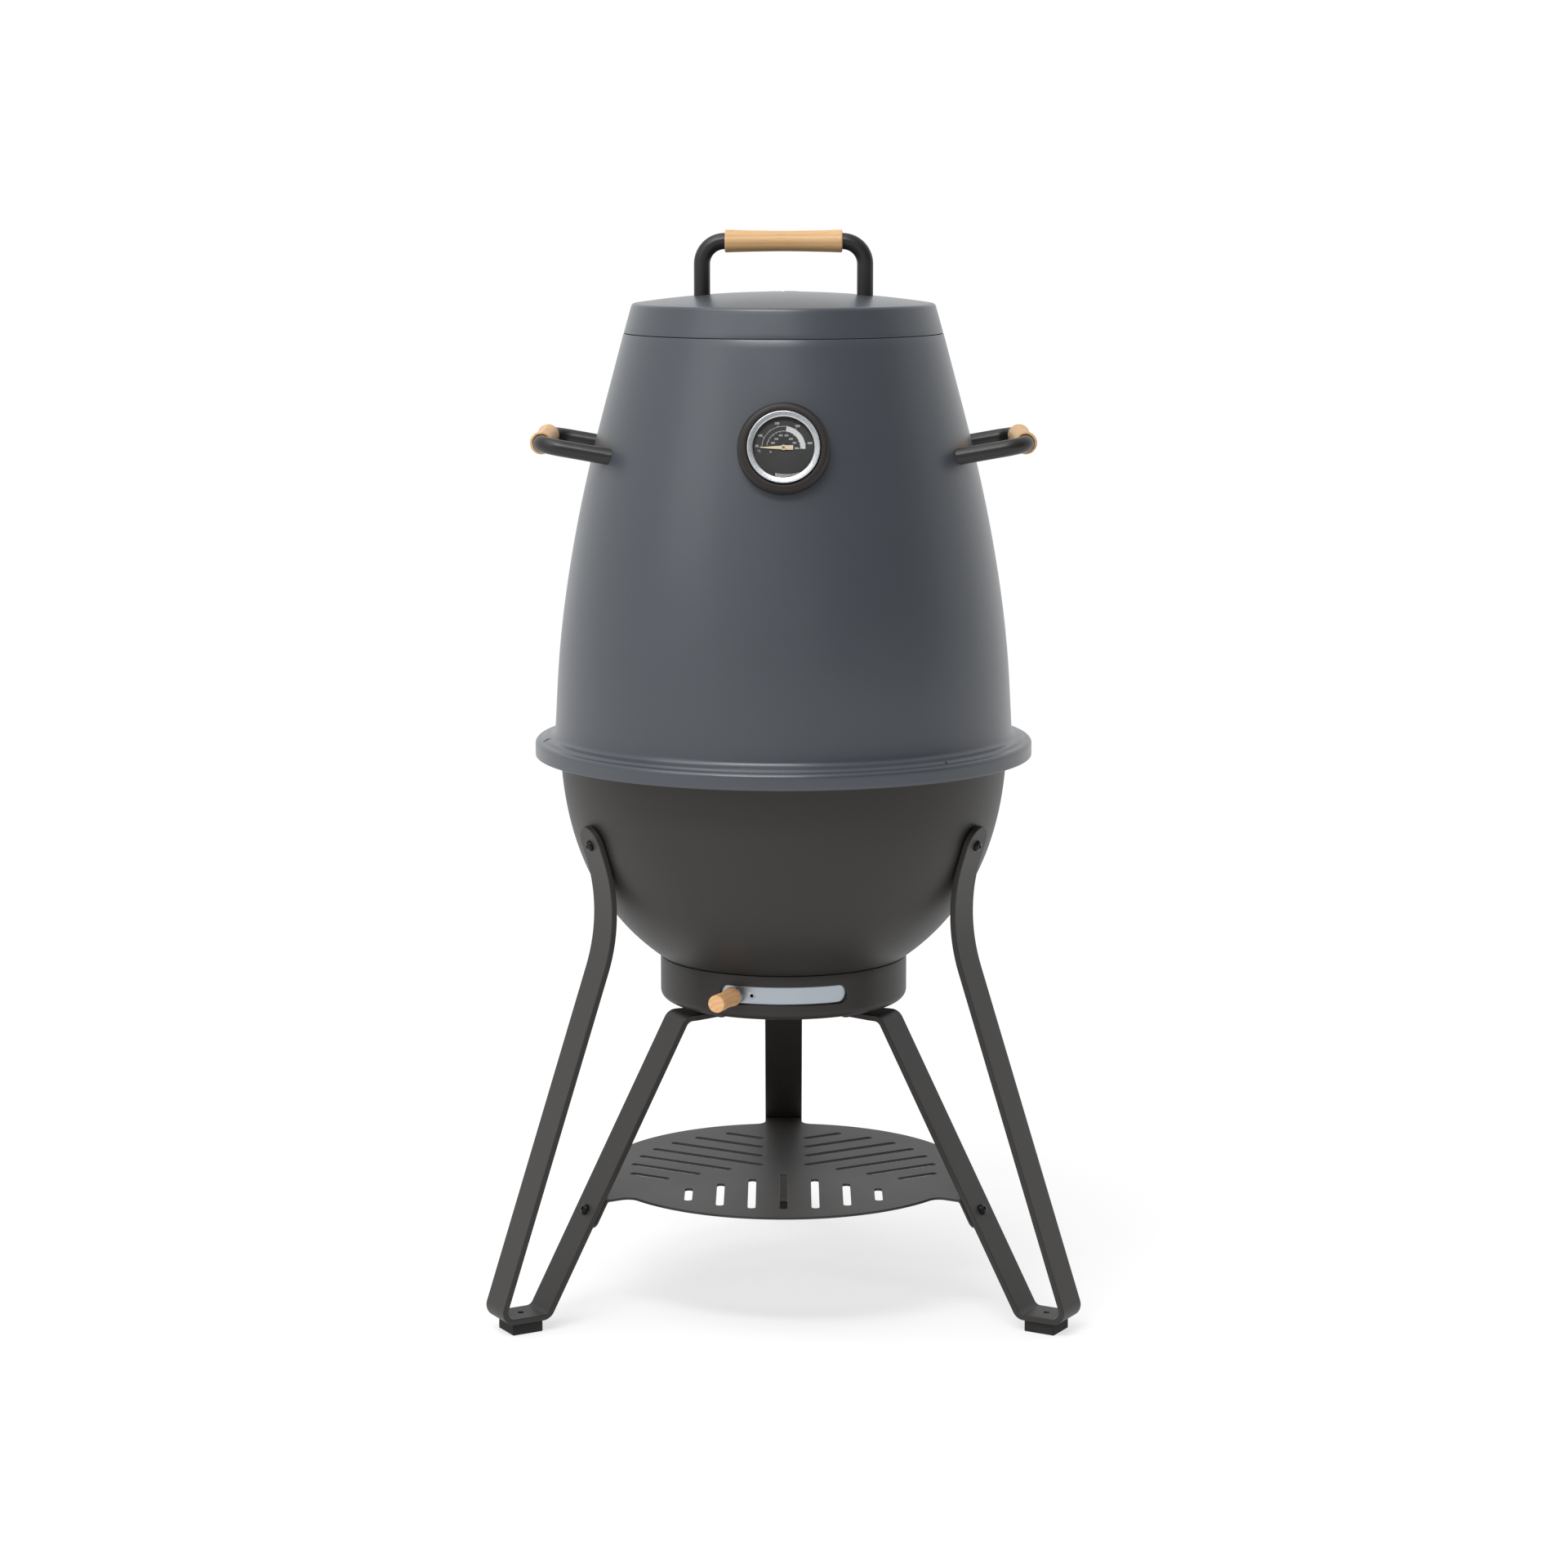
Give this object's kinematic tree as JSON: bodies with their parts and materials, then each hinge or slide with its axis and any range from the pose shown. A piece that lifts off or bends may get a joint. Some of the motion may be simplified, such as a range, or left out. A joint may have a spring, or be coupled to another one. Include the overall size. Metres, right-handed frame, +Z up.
{
  "type": "vertical charcoal smoker",
  "caption": "Bullet-shaped charcoal smoker: tall lift-off hood with lid, wooden grips and dial thermometer over a bowl and ash drum with air slider, on bent flat-bar legs with a slotted shelf.",
  "frame": {"origin": "centre of the footprint's bounding box, on the floor; the smoker's own axis is 40.88 mm in front of it", "axes": "+Z up, -Y towards the front, where the thermometer and air slider are, +X to the right as seen from the front"},
  "size_m": [0.6028, 0.5912, 1.1006],
  "materials": {
    "hood_enamel": "satin blue-grey powder coat",
    "stand_enamel": "satin warm dark grey powder coat",
    "handle_tube": "satin near-black powder coat",
    "grip_wood": "oiled light hardwood",
    "plain_steel": "brushed",
    "grate_steel": "plated wire",
    "bright_chrome": "polished",
    "pad_rubber": "matte",
    "bolt_black": "black oxide",
    "dial_face": "matte black with printed scale",
    "needle_cream": "cream",
    "gauge_glass": "clear"
  },
  "bodies": {
    "stand": {"bowl": "stand_enamel", "ash_drum": "stand_enamel", "shelf": "stand_enamel", "leg_left": "stand_enamel", "leg_right": "stand_enamel", "leg_rear": "stand_enamel", "foot_pad_left": "pad_rubber", "foot_pad_right": "pad_rubber", "foot_pad_rear": "pad_rubber", "grate_bracket_left": "plain_steel", "grate_bracket_right": "plain_steel", "grate_bracket_rear": "plain_steel", "leg_bolt_left": "bolt_black", "leg_bolt_right": "bolt_black", "leg_bolt_rear": "bolt_black", "shelf_bolt_left": "bolt_black", "shelf_bolt_right": "bolt_black", "shelf_bolt_rear": "bolt_black", "drum_bolt_left": "bolt_black", "drum_bolt_right": "bolt_black", "drum_bolt_rear": "bolt_black", "charcoal_grate": "grate_steel", "lower_grate": "grate_steel", "upper_grate": "grate_steel", "water_pan": "stand_enamel"},
    "air_slider": {"air_band": "plain_steel", "slider_stud": "plain_steel", "slider_spacer": "plain_steel", "slider_knob": "grip_wood"},
    "hood": {"hood": "hood_enamel", "side_handle_left": "handle_tube", "side_handle_right": "handle_tube", "side_grip_left": "grip_wood", "side_grip_right": "grip_wood", "handle_screw_left_front": "bolt_black", "handle_screw_left_rear": "bolt_black", "handle_screw_right_front": "bolt_black", "handle_screw_right_rear": "bolt_black", "thermo_collar": "stand_enamel", "thermo_case": "bright_chrome", "thermo_bezel": "bright_chrome", "thermo_dial": "dial_face", "thermo_glass": "gauge_glass", "thermo_pin": "plain_steel", "thermo_stem": "plain_steel", "thermo_nut": "plain_steel"},
    "gauge_needle": {"thermo_needle": "needle_cream"},
    "lid": {"lid": "hood_enamel", "lid_ring": "hood_enamel", "lid_handle": "handle_tube", "lid_grip": "grip_wood", "lid_screw_left": "bolt_black", "lid_screw_right": "bolt_black", "damper_rivet": "plain_steel"},
    "exhaust_damper": {"damper": "plain_steel"}
  },
  "joints": [
    {"name": "air_slider_turn", "type": "hinge", "parent": "stand", "child": "air_slider", "pos_m": [0, -0.04088, 0.3376], "axis": [0, 0, 1], "range_deg": [0, 46]},
    {"name": "hood_lift", "type": "slide", "parent": "stand", "child": "hood", "axis": [0, 0, 1], "range_m": [0, 0.4]},
    {"name": "lid_lift", "type": "slide", "parent": "hood", "child": "lid", "axis": [0, 0, 1], "range_m": [0, 0.15]},
    {"name": "needle_turn", "type": "hinge", "parent": "hood", "child": "gauge_needle", "pos_m": [0, -0.23914, 0.89541], "axis": [0, 0.9694, -0.2453], "range_deg": [0, 186], "stiffness_Nm_per_rad": 0.00002},
    {"name": "damper_turn", "type": "hinge", "parent": "lid", "child": "exhaust_damper", "pos_m": [0, 0.06712, 1.03275], "axis": [0, 0.1064, 0.9943], "range_deg": [0, 45]}
  ]
}
